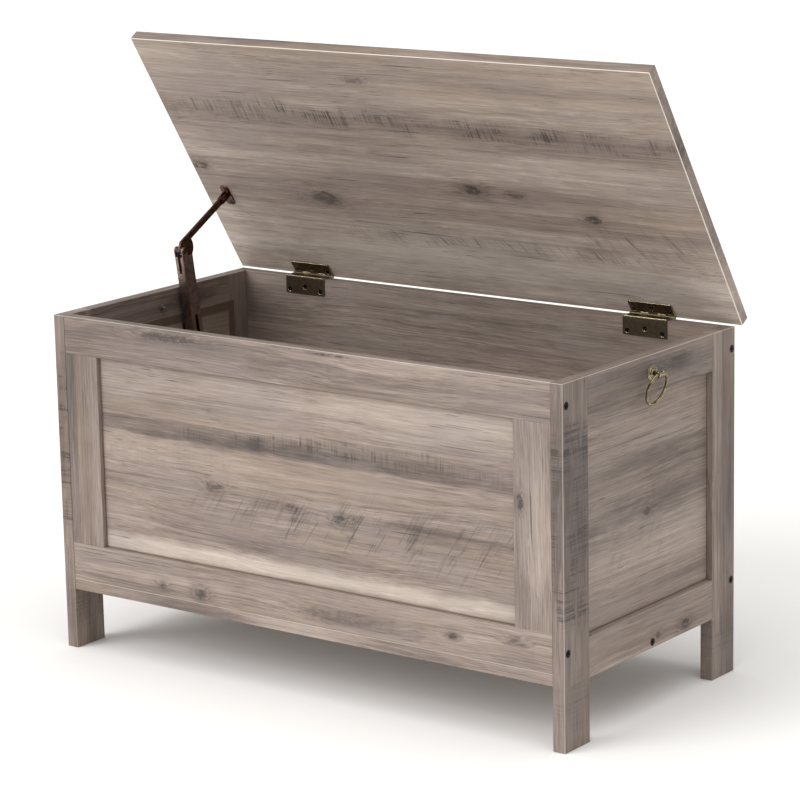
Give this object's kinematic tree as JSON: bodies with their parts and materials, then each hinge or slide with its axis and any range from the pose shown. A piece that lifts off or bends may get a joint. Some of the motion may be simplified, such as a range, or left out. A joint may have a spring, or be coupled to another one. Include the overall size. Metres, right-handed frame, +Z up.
{
  "type": "toy box",
  "caption": "Panelled wooden toy box on four legs, with a hinged lid shown open, a folding lid stay and a ring pull at each end.",
  "frame": {"origin": "on the floor, under the middle of the open chest's footprint, which is the legs in front and the opened lid's rear edge behind", "axes": "+Z up, the front with its five-piece panel faces -Y, +X is to the right seen from the front, along the chest's length"},
  "size_m": [0.8172, 0.404, 0.7904],
  "materials": {
    "oak_laminate": "greige wood-grain laminate on particleboard, satin",
    "dowel_wood": "raw beech dowel",
    "black_steel": "black socket screw",
    "dark_screw": "black phosphated wood screw",
    "antique_brass": "antique brass with worn bright edges",
    "bronze": "oil-rubbed bronze with copper edges",
    "zinc_steel": "zinc plated",
    "washer_plastic": "black nylon"
  },
  "bodies": {
    "chest": {"left_front_leg": "oak_laminate", "left_rear_leg": "oak_laminate", "left_top_rail": "oak_laminate", "left_bottom_rail": "oak_laminate", "left_side_panel": "oak_laminate", "left_side_dowels": "dowel_wood", "left_frame_bolts": "black_steel", "left_hinge_lower_leaf": "antique_brass", "left_hinge_pin": "antique_brass", "left_ring_plate": "antique_brass", "left_ring_eyebolt": "antique_brass", "left_ring_nut": "zinc_steel", "right_front_leg": "oak_laminate", "right_rear_leg": "oak_laminate", "right_top_rail": "oak_laminate", "right_bottom_rail": "oak_laminate", "right_side_panel": "oak_laminate", "right_side_dowels": "dowel_wood", "right_frame_bolts": "black_steel", "right_hinge_lower_leaf": "antique_brass", "right_hinge_pin": "antique_brass", "right_ring_plate": "antique_brass", "right_ring_eyebolt": "antique_brass", "right_ring_nut": "zinc_steel", "front_top_rail": "oak_laminate", "front_bottom_rail": "oak_laminate", "front_left_stile": "oak_laminate", "front_right_stile": "oak_laminate", "front_panel": "oak_laminate", "back_panel": "oak_laminate", "bottom_board": "oak_laminate", "front_dowels": "dowel_wood", "bottom_dowels": "dowel_wood", "hinge_chest_screws": "dark_screw", "stay_base_bracket": "bronze", "stay_base_pin": "bronze", "stay_base_screws": "dark_screw"},
    "lid": {"lid_board": "oak_laminate", "left_hinge_upper_leaf": "antique_brass", "right_hinge_upper_leaf": "antique_brass", "hinge_lid_screws": "dark_screw", "stay_lid_foot": "bronze", "stay_lid_pin": "bronze", "stay_lid_screws": "dark_screw"},
    "stay_arm_link": {"stay_arm": "bronze"},
    "stay_channel_link": {"stay_channel": "bronze", "stay_elbow_pin": "bronze", "stay_elbow_washers": "washer_plastic", "stay_spring": "zinc_steel", "stay_spring_seats": "washer_plastic"},
    "left_ring_link": {"left_ring": "antique_brass"},
    "right_ring_link": {"right_ring": "antique_brass"}
  },
  "joints": [
    {"name": "lid_hinge", "type": "hinge", "parent": "chest", "child": "lid", "pos_m": [0, 0.18613, 0.4454], "axis": [-1, 0, 0], "range_deg": [-57.9, 12.5]},
    {"name": "stay_lid_pivot", "type": "hinge", "parent": "lid", "child": "stay_arm_link", "pos_m": [-0.3625, 0.10687, 0.55379], "axis": [1, 0, 0], "range_deg": [-72.5, 15.7]},
    {"name": "stay_elbow", "type": "hinge", "parent": "stay_arm_link", "child": "stay_channel_link", "pos_m": [-0.3625, 0.01653, 0.4975], "axis": [-1, 0, 0], "range_deg": [-74.9, 16.2]},
    {"name": "left_ring_swing", "type": "hinge", "parent": "chest", "child": "left_ring_link", "pos_m": [-0.405, -0.00947, 0.422], "axis": [0, 1, 0], "range_deg": [-5, 160]},
    {"name": "right_ring_swing", "type": "hinge", "parent": "chest", "child": "right_ring_link", "pos_m": [0.405, -0.00947, 0.422], "axis": [0, -1, 0], "range_deg": [-5, 160]}
  ],
  "couplings": [
    {"joint": "stay_lid_pivot", "follows": "lid_hinge", "ratio": 1.251},
    {"joint": "stay_elbow", "follows": "lid_hinge", "ratio": 1.2916}
  ]
}
